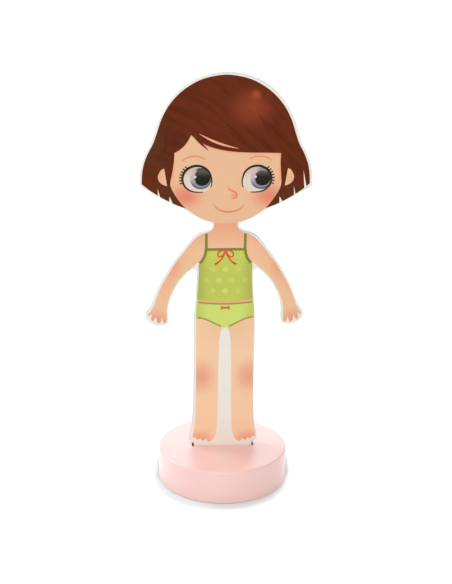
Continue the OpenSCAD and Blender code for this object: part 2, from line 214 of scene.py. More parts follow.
# Painted shadow: behind the stand the floor as seen takes a darker colour and less glow
painted_back_shade = fade(floor_tree, away(floor_tree, back_x, back_y), *back_shade_reach)
painted_back_shade = sums(floor_tree, "MULTIPLY", painted_back_shade, fade(floor_tree, slanting, *back_shade_start))
floor_direct = seen_directly(floor_tree)
floor_shown = over(floor_tree, floor_seen, floor_painted_shadow, painted_back_shade)
floor_colour = over(floor_tree, floor_bounce, floor_shown, floor_direct)
floor_paint = place(floor_tree, "ShaderNodeBsdfDiffuse", {"Color": floor_colour})
painted_floor_shade = sums(floor_tree, "MAXIMUM", painted_front_shade, painted_back_shade)
floor_glow = sums(floor_tree, "MULTIPLY_ADD", painted_floor_shade, glow_by_stand - glow_away, glow_away)
floor_strength = sums(floor_tree, "MULTIPLY", floor_direct, floor_glow)
floor_light = place(floor_tree, "ShaderNodeEmission", {"Strength": floor_strength})
floor_both = place(floor_tree, "ShaderNodeAddShader", {0: floor_paint.outputs[0], 1: floor_light.outputs[0]})
place(floor_tree, "ShaderNodeOutputMaterial", {"Surface": floor_both.outputs[0]})
floor.data.materials.append(floor_finish)

# Stand
# A turned wooden disc with rounded rims and a slot milled across its top for the figure's tab. It is sprayed
# all over with a pale pink paint that dries to a gloss, and the slot is left as bare wood, coloured dark as
# painted shade deep in the slot.
stand_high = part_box("stand_disc")[1]
tab_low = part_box("figure_board")[0].z
figure_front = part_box("front_sheet")[0].y
figure_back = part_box("back_sheet")[1].y
stand_radius = stand_high.y
stand_top = stand_high.z
stand_sides = 192
rim_radius = 1.2 * mm
rim_steps = 6
slot_length = 36 * mm
slot_gap = 0.2 * mm
slot_width = figure_back - figure_front + 2 * slot_gap
slot_lip = 0.2 * mm
smooth_angle = radians(35)
paint_cloud_size = 24 * mm
orange_peel_size = 1.8 * mm
orange_peel_depth = 0.01 * mm
# How a pattern shows: the value of its noise at the start and the end, and what the two give
paint_clouds = (0.3, 0.8, 0.0, 0.4)
paint_roughness = (0.3, 0.7, 0.3, 0.36)


def colour(red, green, blue):
    """A screen colour, 0 to 255, as the linear colour that a shader takes."""
    parts = []
    for part in (red, green, blue):
        share = part / 255
        parts.append(share / 12.92 if share <= 0.04045 else ((share + 0.055) / 1.055) ** 2.4)
    return (*parts, 1.0)


def edit_edges(piece, wanted):
    """Opens a piece for editing with just those edges selected of which wanted, given their ends, is true."""
    bpy.ops.object.select_all(action="DESELECT")
    bpy.context.view_layer.objects.active = piece
    piece.select_set(True)
    bpy.ops.object.mode_set(mode="EDIT")
    bpy.ops.mesh.select_mode(type="EDGE")
    bpy.ops.mesh.select_all(action="DESELECT")
    bpy.ops.object.mode_set(mode="OBJECT")
    points = piece.data.vertices
    for edge in piece.data.edges:
        edge.select = wanted(*(points[end].co for end in edge.vertices))
    bpy.ops.object.mode_set(mode="EDIT")


def new_finish(name):
    """A material with one principled shader; gives back the material, its node tree and the shader."""
    material = bpy.data.materials.new(name)
    material.use_nodes = True
    tree = material.node_tree
    tree.nodes.clear()
    shader = place(tree, "ShaderNodeBsdfPrincipled")
    place(tree, "ShaderNodeOutputMaterial", {"Surface": shader.outputs[0]})
    return material, tree, shader


def noise(tree, position, size, detail=2.0):
    """Soft random values between 0 and 1, with features of about the given size."""
    sockets = {"Vector": position, "Scale": 1 / size, "Detail": detail}
    return place(tree, "ShaderNodeTexNoise", sockets).outputs[0]


def bumped(tree, shader, height, depth, strength=1.0):
    """Gives a shader small relief: the height runs from 0 to 1 and the depth is its real size."""
    relief = place(tree, "ShaderNodeBump", {"Height": height, "Distance": depth, "Strength": strength})
    tree.links.new(relief.outputs[0], shader.inputs["Normal"])


bpy.ops.object.select_all(action="DESELECT")
bpy.ops.mesh.primitive_cylinder_add(
    vertices=stand_sides, radius=stand_radius, depth=stand_top, location=(0, 0, stand_top / 2)
)
stand = bpy.context.object
stand.name = "stand"
bpy.ops.object.transform_apply(location=True, rotation=True, scale=True)
edit_edges(stand, lambda one, other: abs(one.z - other.z) < rim_radius)
bpy.ops.mesh.bevel(offset=rim_radius, segments=rim_steps, affect="EDGES")
bpy.ops.object.mode_set(mode="OBJECT")

cut_top = stand_top - slot_lip
bpy.ops.object.select_all(action="DESELECT")
bpy.ops.mesh.primitive_cube_add(
    size=1, location=(0, 0, (tab_low + cut_top) / 2), scale=(slot_length, slot_width, cut_top - tab_low)
)
slot_cutter = bpy.context.object
slot_cutter.name = "slot_cutter"
bpy.ops.object.transform_apply(location=True, rotation=True, scale=True)
edit_edges(slot_cutter, lambda one, other: min(one.z, other.z) > cut_top - slot_lip)
# The cutter widens at 45 degrees and goes on past the stand's top, so the slot's mouth is chamfered
flare = ((slot_length + 4 * slot_lip) / slot_length, (slot_width + 4 * slot_lip) / slot_width, 1)
bpy.ops.mesh.extrude_region_move(TRANSFORM_OT_translate={"value": (0, 0, 2 * slot_lip)})
bpy.ops.transform.resize(value=flare)
bpy.ops.object.mode_set(mode="OBJECT")
milling = stand.modifiers.new("slot", "BOOLEAN")
milling.operation = "DIFFERENCE"
milling.object = slot_cutter
bpy.ops.object.select_all(action="DESELECT")
bpy.context.view_layer.objects.active = stand
stand.select_set(True)
bpy.ops.object.modifier_apply(modifier=milling.name)
bpy.data.objects.remove(slot_cutter)
bpy.ops.object.shade_smooth_by_angle(angle=smooth_angle)

pink = colour(241, 197, 190)
pink_deep = colour(238, 188, 180)
slot_wood_and_shade = colour(116, 78, 68)
paint_finish, paint_tree, paint_shader = new_finish("pink_paint")
paint_place = here(paint_tree)
paint_x, paint_y, paint_z = split(paint_tree, paint_place)
paint_reach = away(paint_tree, paint_x, paint_y)
clouds = noise(paint_tree, paint_place, paint_cloud_size)
paint_colour = over(paint_tree, pink, pink_deep, fade(paint_tree, clouds, *paint_clouds))
by_slot = sums(paint_tree, "LESS_THAN", paint_reach, slot_length / 2 + slot_lip)
above_slot_floor = sums(paint_tree, "GREATER_THAN", paint_z, tab_low / 2)
below_lip = fade(paint_tree, paint_z, stand_top - slot_lip, stand_top - 3 * slot_lip)
in_slot = sums(paint_tree, "MULTIPLY", by_slot, sums(paint_tree, "MULTIPLY", above_slot_floor, below_lip))
# Inside the slot the paint gives way to bare wood without a coat, coloured dark as painted shade
paint_colour = over(paint_tree, paint_colour, slot_wood_and_shade, in_slot)
orange_peel = noise(paint_tree, paint_place, orange_peel_size, detail=1.0)
paint_tree.links.new(paint_colour, paint_shader.inputs["Base Color"])
paint_tree.links.new(fade(paint_tree, orange_peel, *paint_roughness), paint_shader.inputs["Roughness"])
paint_tree.links.new(sums(paint_tree, "SUBTRACT", 1.0, in_slot), paint_shader.inputs["Coat Weight"])
paint_shader.inputs["Coat Roughness"].default_value = 0.42
paint_shader.inputs["Coat IOR"].default_value = 1.6
paint_shader.inputs["Specular IOR Level"].default_value = 0.25
bumped(paint_tree, paint_shader, orange_peel, orange_peel_depth, strength=0.4)
stand.data.materials.append(paint_finish)
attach(stand, "stand")
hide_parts("stand_disc")

# Board
# The figure is fretsawn from thin plywood. Its edge is sanded and brushed with white paint, which covers the
# plies but lets them show faintly. The edge is coloured a greyish white that turns greyer towards the back,
# as painted shade along it.
edge_white = colour(222, 220, 215)
edge_shade_grey = colour(208, 205, 200)
ply_shade = colour(212, 206, 196)
ply_pitch = 1.35 * mm
ply_wander = 0.5 * mm
ply_relief = 0.03 * mm
ply_lines = (0.5, 1.0, 0.0, 0.35)
rag_size = 2.5 * mm
edge_roughness = (0.3, 0.7, 0.5, 0.65)
shade_by_back = (1.3 * mm, 2.0 * mm)
weld_gap = 0.0005 * mm


def merged_copy(node, name):
    """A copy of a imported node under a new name, its loose triangles merged into one smooth-shaded mesh."""
    piece = frame["nodes"][node].copy()
    piece.data = piece.data.copy()
    piece.parent = None
    piece.name = name
    bpy.context.scene.collection.objects.link(piece)
    # The copy is a piece of its own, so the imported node's marks come off
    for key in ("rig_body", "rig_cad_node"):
        if key in piece:
            del piece[key]
    bpy.ops.object.select_all(action="DESELECT")
    bpy.context.view_layer.objects.active = piece
    piece.select_set(True)
    bpy.ops.object.mode_set(mode="EDIT")
    bpy.ops.mesh.select_all(action="SELECT")
    bpy.ops.mesh.remove_doubles(threshold=weld_gap)
    bpy.ops.object.mode_set(mode="OBJECT")
    bpy.ops.object.shade_smooth_by_angle(angle=smooth_angle)
    piece.data.materials.clear()
    return piece


board = merged_copy("figure_board", "plywood_board")
board_finish, board_tree, board_shader = new_finish("painted_plywood")
board_place = here(board_tree)
board_y = split(board_tree, board_place)[1]
ragged = noise(board_tree, board_place, rag_size, detail=3.0)
wobble = sums(board_tree, "MULTIPLY_ADD", ragged, ply_wander, -ply_wander / 2)
depth_in = sums(board_tree, "ADD", board_y, wobble)
plies = sums(board_tree, "SINE", sums(board_tree, "MULTIPLY", depth_in, tau / ply_pitch))
board_colour = over(board_tree, edge_white, ply_shade, fade(board_tree, plies, *ply_lines))
# Painted shade: the edge turns greyer towards the back
board_colour = over(board_tree, board_colour, edge_shade_grey, fade(board_tree, depth_in, *shade_by_back))
board_tree.links.new(board_colour, board_shader.inputs["Base Color"])
board_tree.links.new(fade(board_tree, ragged, *edge_roughness), board_shader.inputs["Roughness"])
board_shader.inputs["Specular IOR Level"].default_value = 0.3
bumped(board_tree, board_shader, plies, ply_relief, strength=0.6)
board.data.materials.append(board_finish)
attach(board, "figure")
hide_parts("figure_board")

# Steel sheet
# Thin bare steel let into the board's front under the paper, where clothes with magnets hold. The paper
# covers it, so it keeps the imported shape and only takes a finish.
steel_dark = colour(176, 178, 182)
steel_light = colour(196, 198, 200)
rolling_mark_width = 0.4 * mm
rolling_squeeze = (1, 1, 0.05)
steel_roughness = (0.2, 0.8, 0.3, 0.5)
steel_finish, steel_tree, steel_shader = new_finish("bare_steel")
along_rolling = {"Vector": here(steel_tree), "Scale": rolling_squeeze}
rolled = place(steel_tree, "ShaderNodeMapping", along_rolling).outputs[0]
rolling_marks = noise(steel_tree, rolled, rolling_mark_width)
steel_colour = over(steel_tree, steel_dark, steel_light, rolling_marks)
steel_tree.links.new(steel_colour, steel_shader.inputs["Base Color"])
steel_tree.links.new(fade(steel_tree, rolling_marks, *steel_roughness), steel_shader.inputs["Roughness"])
steel_shader.inputs["Metallic"].default_value = 1.0


def wear(node, material):
    """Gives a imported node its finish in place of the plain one."""
    frame["nodes"][node].data.materials.clear()
    frame["nodes"][node].data.materials.append(material)


wear("steel_sheet", steel_finish)

# Paper sheets
# Smooth coated paper glued on both faces of the board and trimmed flush with its edge, so a narrow white
# border is left round the print. The cut edges are rubbed over and slightly rounded, and coloured grey as
# painted shade along them.
paper_round = 0.25 * mm
paper_round_steps = 3
paper_flatness = radians(0.05)
paper_cloud_size = 6 * mm
paper_clouds = (0.3, 0.75, 0.0, 0.5)
paper_tooth_size = 0.35 * mm
paper_tooth_depth = 0.006 * mm
paper_roughness = (0.2, 0.8, 0.42, 0.55)
paper_face_depth = 0.05 * mm
paper_white = colour(234, 227, 218)
paper_warm = colour(231, 222, 210)
paper_edge_shade = colour(204, 201, 196)


def paper_finish(name):
    """Coated paper: faint clouds in its colour, a fine tooth, and painted shade in grey on its cut edge."""
    material, tree, shader = new_finish(name)
    position = here(tree)
    mottle = noise(tree, position, paper_cloud_size, detail=3.0)
    tooth = noise(tree, position, paper_tooth_size)
    tone = over(tree, paper_white, paper_warm, fade(tree, mottle, *paper_clouds))
    from_middle = sums(tree, "ABSOLUTE", split(tree, position)[1])
    below_face = fade(tree, from_middle, figure_back, figure_back - paper_face_depth)
    # Painted shade: the cut edge below the outer face is coloured grey
    tone = over(tree, tone, paper_edge_shade, below_face)
    tree.links.new(tone, shader.inputs["Base Color"])
    tree.links.new(fade(tree, tooth, *paper_roughness), shader.inputs["Roughness"])
    shader.inputs["Specular IOR Level"].default_value = 0.2
    bumped(tree, shader, tooth, paper_tooth_depth, strength=0.4)
    return material


def trim_paper(sheet, outer_face):
    """Joins the triangles of each flat face of a sheet and rounds its cut edge along the outer face."""
    edit_edges(sheet, lambda one, other: True)
    bpy.ops.mesh.dissolve_limited(angle_limit=paper_flatness)
    bpy.ops.object.mode_set(mode="OBJECT")
    edit_edges(sheet, lambda one, other: abs(one.y + other.y - 2 * outer_face) < paper_round / 2)
    bpy.ops.mesh.bevel(offset=paper_round, segments=paper_round_steps, affect="EDGES")
    bpy.ops.object.mode_set(mode="OBJECT")
    bpy.ops.object.shade_smooth_by_angle(angle=smooth_angle)


for node, name, outer_face in (
    ("front_sheet", "front_paper", figure_front),
    ("back_sheet", "back_paper", figure_back),
):
    sheet = merged_copy(node, name)
    trim_paper(sheet, outer_face)
    sheet.data.materials.append(paper_finish(name))
    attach(sheet, "figure")
    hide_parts(node)

# Printed skin
# The face, ears, neck, arms and legs are printed in peach, with airbrushed blushes on the cheeks, elbows,
# knees, fingers and toes, a coral line where the hair frames the face, and a warm shade under the chin.
# The face's skin is a little darker than the body's: painted shade offsetting the stronger lamp light on the
# head
face_skin_shaded = colour(231, 183, 145)
skin = colour(235, 188, 148)
skin_light = colour(232, 186, 147)
leg_skin = colour(242, 199, 161)
blush = colour(227, 133, 109)
knee_blush = colour(226, 138, 118)
finger_blush = colour(235, 152, 124)
tip_blush = colour(226, 137, 116)
neck_shade = colour(233, 158, 126)
waist_shade = colour(222, 170, 116)
coral_edge = colour(238, 158, 128)
skin_mottle = 0.08
# Soft spots of colour: x and height of the middle, reach to the side and up, in millimetres, and strength
face_light = (2, 158, 26, 24, 0.5)
cheeks = [(x, 151.2, 13.5, 10, 1.0) for x in (-22.8, 23.4)]
nose_blush = (4.2, 151.4, 3.2, 3, 1.0)
elbows = [(x, 110.5, 6.5, 10, 0.6) for x in (-29.5, 29.5)]
fingers = [(x, 77, 10, 11, 0.78) for x in (-39, 39)]
thighs = (2, 76, 24, 18, 0.9)
knees = [(x, 44, 12, 14.5, 0.66) for x in (-13.4, 14.8)]
toes = [(x, 3.5, 12, 9, 0.75) for x in (-14.0, 14.5)]
# Shades that come on between two heights, in millimetres above the stand's top, up to a strength
chest_shade = (119, 130, 0.0, 0.45)
throat_shade = (127, 136, 0.0, 0.8)
upper_arm_height = (90, 102)
waist_height = (96, 94)
temple_height = (155, 164)
# Shades that come on between two distances: to the side, past the arm's outer edge, or under the hair
waist_side = (20 * mm, 18 * mm)
temple_side = (28.2 * mm, 29.2 * mm)
ear_side = (33.4 * mm, 37 * mm, 0.2, 0.5)
arm_edge = (-5 * mm, 2.4 * mm, 0.0, 0.3)
hair_line = (1.1 * mm, 0.3 * mm, 0.0, 0.9)
waist_strength = 0.7
temple_strength = 0.7
# The edge of the hair over the brow, in millimetres from the figure's middle and above the stand
brow_hair = (
    (-28.7, 175.5), (-25.7, 177.3), (-23.0, 179.8), (-21.1, 182.6), (-19.7, 185.3), (-17.0, 183.1),
    (-13.2, 180.6), (-9.4, 178.9), (-3.9, 177.3), (3.8, 176.1), (12.5, 175.6), (29.6, 175.3),
)
brow_from = (-30, 170)
brow_to = (30, 190)
# Two points on the outer edge of the arm seen at the right, by the shoulder and by the wrist
shoulder = Vector((17.0, 127.0))
wrist = Vector((40.2, 88.0))


def level(height):
    """The z of a height on the print, which is given in millimetres above the stand's top."""
    return stand_top + height * mm


def on_figure(x, height):
    """A place on the print: millimetres to the right of the middle and above the stand's top."""
    return (x * mm, 0.0, level(height))


def right_and_up(tree, position):
    """How far right a place on the print lies, and how high."""
    return split(tree, position)[::2]


def fade_up(tree, up, start, end, low=0.0, high=1.0):
    """A fade between two heights on the print."""
    return fade(tree, up, level(start), level(end), low, high)


soft_spot = bpy.data.node_groups.new("soft_spot", "ShaderNodeTree")
for socket_name in ("Place", "Centre", "Reach"):
    soft_spot.interface.new_socket(socket_name, in_out="INPUT", socket_type="NodeSocketVector")
soft_spot.interface.new_socket("Mask", in_out="OUTPUT", socket_type="NodeSocketFloat")
spot_in = place(soft_spot, "NodeGroupInput").outputs
spot_off = {0: spot_in["Place"], 1: spot_in["Centre"]}
spot_away = place(soft_spot, "ShaderNodeVectorMath", spot_off, operation="SUBTRACT").outputs[0]
spot_flat = {0: spot_away, 1: (1, 0, 1)}
spot_plane = place(soft_spot, "ShaderNodeVectorMath", spot_flat, operation="MULTIPLY").outputs[0]
spot_scaled = {0: spot_plane, 1: spot_in["Reach"]}
spot_share = place(soft_spot, "ShaderNodeVectorMath", spot_scaled, operation="DIVIDE").outputs[0]
spot_far = place(soft_spot, "ShaderNodeVectorMath", {0: spot_share}, operation="LENGTH").outputs["Value"]
place(soft_spot, "NodeGroupOutput", {"Mask": fade(soft_spot, spot_far, 1.0, 0.0)})

ink_cloud_size = 4 * mm
ink_grain_size = 0.35 * mm
ink_cloud_share = 0.4
ink_relief = 0.005 * mm
ink_roughness = (0.2, 0.8, 0.42, 0.56)
printed_ink = bpy.data.node_groups.new("printed_ink", "ShaderNodeTree")
printed_ink.interface.new_socket("Place", in_out="INPUT", socket_type="NodeSocketVector")
printed_ink.interface.new_socket("Colour", in_out="INPUT", socket_type="NodeSocketColor")
printed_ink.interface.new_socket("Mottle", in_out="INPUT", socket_type="NodeSocketFloat")
printed_ink.interface.new_socket("Colour", in_out="OUTPUT", socket_type="NodeSocketColor")
printed_ink.interface.new_socket("Roughness", in_out="OUTPUT", socket_type="NodeSocketFloat")
printed_ink.interface.new_socket("Height", in_out="OUTPUT", socket_type="NodeSocketFloat")
ink_in = place(printed_ink, "NodeGroupInput").outputs
ink_clouds = noise(printed_ink, ink_in["Place"], ink_cloud_size, detail=3.0)
ink_grain = noise(printed_ink, ink_in["Place"], ink_grain_size)
ink_fine = sums(printed_ink, "MULTIPLY", ink_grain, 1 - ink_cloud_share)
ink_uneven = sums(printed_ink, "MULTIPLY_ADD", ink_clouds, ink_cloud_share, ink_fine)
ink_swing = sums(printed_ink, "MULTIPLY", sums(printed_ink, "SUBTRACT", ink_uneven, 0.5), ink_in["Mottle"])
ink_value = sums(printed_ink, "ADD", ink_swing, 1.0)
ink_toned = place(printed_ink, "ShaderNodeHueSaturation", {"Color": ink_in["Colour"], "Value": ink_value})
place(printed_ink, "NodeGroupOutput", {
    "Colour": ink_toned.outputs[0],
    "Roughness": fade(printed_ink, ink_grain, *ink_roughness),
    "Height": ink_grain,
})


def spot(tree, position, x, height, reach_x, reach_z, strength):
    """A soft round mask on the print, given in millimetres."""
    sockets = {"Place": position, "Centre": on_figure(x, height), "Reach": (reach_x * mm, 1.0, reach_z * mm)}
    mask = place(tree, "ShaderNodeGroup", sockets, node_tree=soft_spot).outputs["Mask"]
    return sums(tree, "MULTIPLY", mask, strength)


def printed(name, painted, mottle):
    """An ink printed on the paper: painted gives its colour at a place, and mottle how uneven it is."""
    material, tree, shader = new_finish(name)
    position = here(tree)
    sockets = {"Place": position, "Colour": painted(tree, position), "Mottle": mottle}
    ink = place(tree, "ShaderNodeGroup", sockets, node_tree=printed_ink).outputs
    tree.links.new(ink["Colour"], shader.inputs["Base Color"])
    tree.links.new(ink["Roughness"], shader.inputs["Roughness"])
    shader.inputs["Specular IOR Level"].default_value = 0.05
    bumped(tree, shader, ink["Height"], ink_relief, strength=0.3)
    return material


def height_of_hair(tree, across):
    """The height of the hair's edge over the brow, at a distance across the face."""
    low, high = on_figure(*brow_from), on_figure(*brow_to)
    share = {"Value": across, "From Min": low[0], "From Max": high[0]}
    across_share = place(tree, "ShaderNodeMapRange", share).outputs[0]
    curve = place(tree, "ShaderNodeFloatCurve", {"Value": across_share})
    shares = []
    for x, height in brow_hair:
        shares.append(((x - brow_from[0]) / (brow_to[0] - brow_from[0]),
                       (height - brow_from[1]) / (brow_to[1] - brow_from[1])))
    line = curve.mapping.curves[0].points
    line[0].location = shares[0]
    line[1].location = shares[-1]
    for point in shares[1:-1]:
        line.new(*point)
    curve.mapping.update()
    return place(tree, "ShaderNodeMapRange", {
        "Value": curve.outputs[0], "To Min": low[2], "To Max": high[2],
    }).outputs[0]


def face_paint(tree, position):
    across, up = right_and_up(tree, position)
    side = sums(tree, "ABSOLUTE", across)
    tone = over(tree, face_skin_shaded, skin_light, spot(tree, position, *face_light))
    for cheek in cheeks:
        tone = over(tree, tone, blush, spot(tree, position, *cheek))
    tone = over(tree, tone, finger_blush, spot(tree, position, *nose_blush))
    under_hair = sums(tree, "SUBTRACT", height_of_hair(tree, across), up)
    tone = over(tree, tone, coral_edge, fade(tree, under_hair, *hair_line))
    temple = sums(tree, "MULTIPLY", fade(tree, side, *temple_side), fade_up(tree, up, *temple_height))
    return over(tree, tone, coral_edge, sums(tree, "MULTIPLY", temple, temple_strength))


def ear_paint(tree, position):
    side = sums(tree, "ABSOLUTE", split(tree, position)[0])
    return over(tree, skin, finger_blush, fade(tree, side, *ear_side))


def body_paint(tree, position):
    across, up = right_and_up(tree, position)
    side = sums(tree, "ABSOLUTE", across)
    tone = over(tree, skin, neck_shade, fade_up(tree, up, *chest_shade))
    tone = over(tree, tone, neck_shade, fade_up(tree, up, *throat_shade))
    outward = (wrist - shoulder).orthogonal().normalized()
    if outward.x < 0:
        outward.negate()
    beyond = sums(tree, "MULTIPLY", sums(tree, "SUBTRACT", side, shoulder.x * mm), outward.x)
    lift = sums(tree, "SUBTRACT", up, level(shoulder.y))
    beyond = sums(tree, "ADD", beyond, sums(tree, "MULTIPLY", lift, outward.y))
    upper_arm = sums(tree, "MULTIPLY", fade(tree, beyond, *arm_edge), fade_up(tree, up, *upper_arm_height))
    tone = over(tree, tone, finger_blush, upper_arm)
    for elbow in elbows:
        tone = over(tree, tone, finger_blush, spot(tree, position, *elbow))
    for tips in fingers:
        tone = over(tree, tone, tip_blush, spot(tree, position, *tips))
    waist = sums(tree, "MULTIPLY", fade_up(tree, up, *waist_height), fade(tree, side, *waist_side))
    return over(tree, tone, waist_shade, sums(tree, "MULTIPLY", waist, waist_strength))


def leg_paint(tree, position):
    tone = over(tree, leg_skin, skin, spot(tree, position, *thighs))
    for knee in knees:
        tone = over(tree, tone, knee_blush, spot(tree, position, *knee))
    for tips in toes:
        tone = over(tree, tone, tip_blush, spot(tree, position, *tips))
    return tone


wear("face_print", printed("face_ink", face_paint, mottle=skin_mottle))
wear("ears_print", printed("ear_ink", ear_paint, mottle=skin_mottle))
wear("body_print", printed("body_ink", body_paint, mottle=skin_mottle))
wear("legs_print", printed("leg_ink", leg_paint, mottle=skin_mottle))

# Printed hair
# Chestnut hair is painted in fine strokes combed down from the parting to the right, with a warm light on the
# crown and one small glint in it. Darker single strands are printed over it.
hair_dark = colour(87, 34, 13)
hair_mid = colour(102, 43, 21)
hair_red = colour(114, 43, 26)
hair_olive = colour(90, 48, 25)
hair_warm = colour(144, 62, 38)
hair_glint = colour(170, 80, 50)
strand_dark = colour(74, 32, 14)
strand_light = colour(90, 36, 17)
hair_mottle = 0.16
comb_slope = 0.8
comb_bend = 6.0
# The width and length of the brush's strokes
fine_stroke = (0.9 * mm, 14 * mm)
broad_stroke = (4.5 * mm, 30 * mm)
mid_strokes = (0.3, 0.65)
dark_strokes = (0.55, 0.75, 0.0, 0.5)
light_strokes = (0.5, 0.75, 0.0, 0.45)
# Soft spots, and a shade between two heights at the hair's ends, given as on the skin
red_crown = (-4, 192, 34, 26, 0.3)
olive_side = (-44, 182, 18, 32, 0.9)
olive_ends = (162, 150, 0.0, 0.8)
warm_light = (13.4, 200.5, 17, 15, 0.9)
small_glint = (15.3, 207.2, 4, 4, 0.85)
dark_strands = ((2, 190, 16, 12, 0.9), (21, 189, 10, 12, 0.9), (-35, 180, 9, 14, 0.9))


def hair_strokes(tree, position, stroke_width, stroke_length):
    """Random strokes combed down to the right, steeper the further right they lie."""
    across, up = right_and_up(tree, position)
    steepness = sums(tree, "MULTIPLY_ADD", across, comb_bend, comb_slope)
    over_stroke = sums(tree, "MULTIPLY_ADD", across, steepness, up)
    along_stroke = sums(tree, "MULTIPLY_ADD", up, -comb_slope, across)
    combed = place(tree, "ShaderNodeCombineXYZ", {
        "X": sums(tree, "DIVIDE", over_stroke, stroke_width),
        "Y": sums(tree, "DIVIDE", along_stroke, stroke_length),
    }).outputs[0]
    return place(tree, "ShaderNodeTexNoise", {"Vector": combed, "Scale": 1.0, "Detail": 3.0}).outputs[0]


def hair_paint(tree, position):
    fine = hair_strokes(tree, position, *fine_stroke)
    broad = hair_strokes(tree, position, *broad_stroke)
    tone = over(tree, hair_dark, hair_mid, fade(tree, broad, *mid_strokes))
    tone = over(tree, tone, hair_red, spot(tree, position, *red_crown))
    tone = over(tree, tone, hair_olive, spot(tree, position, *olive_side))
    tone = over(tree, tone, hair_olive, fade_up(tree, split(tree, position)[2], *olive_ends))
    tone = over(tree, tone, hair_warm, spot(tree, position, *warm_light))
    tone = over(tree, tone, hair_glint, spot(tree, position, *small_glint))
    tone = over(tree, tone, hair_dark, fade(tree, broad, *dark_strokes))
    return over(tree, tone, strand_light, fade(tree, fine, *light_strokes))


def strand_paint(tree, position):
    tone = hair_paint(tree, position)
    for strand in dark_strands:
        tone = over(tree, tone, strand_dark, spot(tree, position, *strand))
    return tone


wear("hair_print", printed("hair_ink", hair_paint, mottle=hair_mottle))
wear("hair_strands_print", printed("strand_ink", strand_paint, mottle=hair_mottle))

# Printed eyes
# Large round eyes that glance to the side: a dark line with lashes, a warm white, a grey-violet iris with a
# darker rim that melts away under the lid, a black pupil with grey flecks, and a pale glint.
eye_middles = (-16.45, 16.75)
eye_height = 160.95
inner_corner = (-6.9, -5.8)
iris_from_eye = (2.2, 0.2)
iris_radius = 5.95 * mm
pupil_from_eye = (2.9, 0.7)
pupil_radius = 4.5 * mm
fleck_size = 0.8 * mm
flecks_show = (0.58, 0.72, 0.0, 0.7)
glint_from_eye = (-1.0, 1.2)
glint_radius = 0.85 * mm
line_dark = colour(44, 36, 31)
line_brown = colour(78, 60, 49)
eye_white = colour(225, 208, 192)
eye_pink = colour(204, 182, 174)
iris_low = colour(142, 137, 146)
iris_pale = colour(192, 181, 188)
iris_rim = colour(84, 78, 88)
lid_shade = colour(134, 120, 118)
left_lid_shade = colour(82, 72, 66)
pupil_black = colour(30, 29, 24)
pupil_grey = colour(100, 88, 82)
pupil_fleck = colour(92, 90, 88)
glint_lilac = colour(228, 219, 222)
# Where the tones change, as distances from the middle: up, across, up to the left, or all round
line_up = (-6 * mm, 3 * mm)
white_up = (-1 * mm, 6.5 * mm)
corner_round = (2.4 * mm, 0.0, 0.0, 0.9)
iris_up = (-3.5 * mm, 1.5 * mm)
iris_rim_round = (0.76 * iris_radius, 0.98 * iris_radius)
iris_rim_up_left = (4 * mm, -1 * mm)
iris_pink_up_left = (3.5 * mm, 7 * mm, 0.0, 0.9)
lid_up = (3 * mm, 6 * mm)
lid_across = (-3.5 * mm, 0.5 * mm)
left_lid_up = (2.5 * mm, 4.8 * mm)
left_lid_across = (-4 * mm, -1 * mm)
pupil_up = (0.0, 4.6 * mm)
pupil_edge_round = (0.84 * pupil_radius, 1.02 * pupil_radius)
pupil_edge_up_left = (-1 * mm, 3.5 * mm, 0.0, 0.8)
left_pupil_up = (0.5 * mm, 3 * mm)
glint_round = (0.1 * glint_radius, 0.9 * glint_radius)


def from_eye(tree, position, shift):
    """How far a place lies from a point in the nearer eye, to the right and up."""
    across, up = right_and_up(tree, position)
    on_right = sums(tree, "GREATER_THAN", across, 0.0)
    left, right = (middle * mm + shift[0] * mm for middle in eye_middles)
    middle = sums(tree, "MULTIPLY_ADD", on_right, right - left, left)
    height = level(eye_height + shift[1])
    return sums(tree, "SUBTRACT", across, middle), sums(tree, "SUBTRACT", up, height)


def in_left_eye(tree, position):
    """1 in the eye seen at the left, whose lid hangs darker over the pupil, and 0 in the other."""
    return sums(tree, "LESS_THAN", split(tree, position)[0], 0.0)


def eye_line_paint(tree, position):
    up = from_eye(tree, position, (0, 0))[1]
    return over(tree, line_brown, line_dark, fade(tree, up, *line_up))


def eye_white_paint(tree, position):
    across, up = from_eye(tree, position, (0, 0))
    tone = over(tree, eye_white, eye_pink, fade(tree, up, *white_up))
    outward = sums(tree, "MULTIPLY", across, sums(tree, "SIGN", split(tree, position)[0]))
    corner = away(tree, sums(tree, "SUBTRACT", outward, inner_corner[0] * mm),
                  sums(tree, "SUBTRACT", up, inner_corner[1] * mm))
    return over(tree, tone, skin_light, fade(tree, corner, *corner_round))


def iris_paint(tree, position):
    across, up = from_eye(tree, position, iris_from_eye)
    reach = away(tree, across, up)
    up_left = sums(tree, "SUBTRACT", up, across)
    tone = over(tree, iris_low, iris_pale, fade(tree, up, *iris_up))
    rim = sums(tree, "MULTIPLY", fade(tree, reach, *iris_rim_round), fade(tree, up_left, *iris_rim_up_left))
    tone = over(tree, tone, iris_rim, rim)
    tone = over(tree, tone, eye_pink, fade(tree, up_left, *iris_pink_up_left))
    lid = sums(tree, "MULTIPLY", fade(tree, up, *lid_up), fade(tree, across, *lid_across))
    tone = over(tree, tone, lid_shade, lid)
    left_lid = sums(tree, "MULTIPLY", fade(tree, up, *left_lid_up), fade(tree, across, *left_lid_across))
    return over(tree, tone, left_lid_shade, sums(tree, "MULTIPLY", left_lid, in_left_eye(tree, position)))


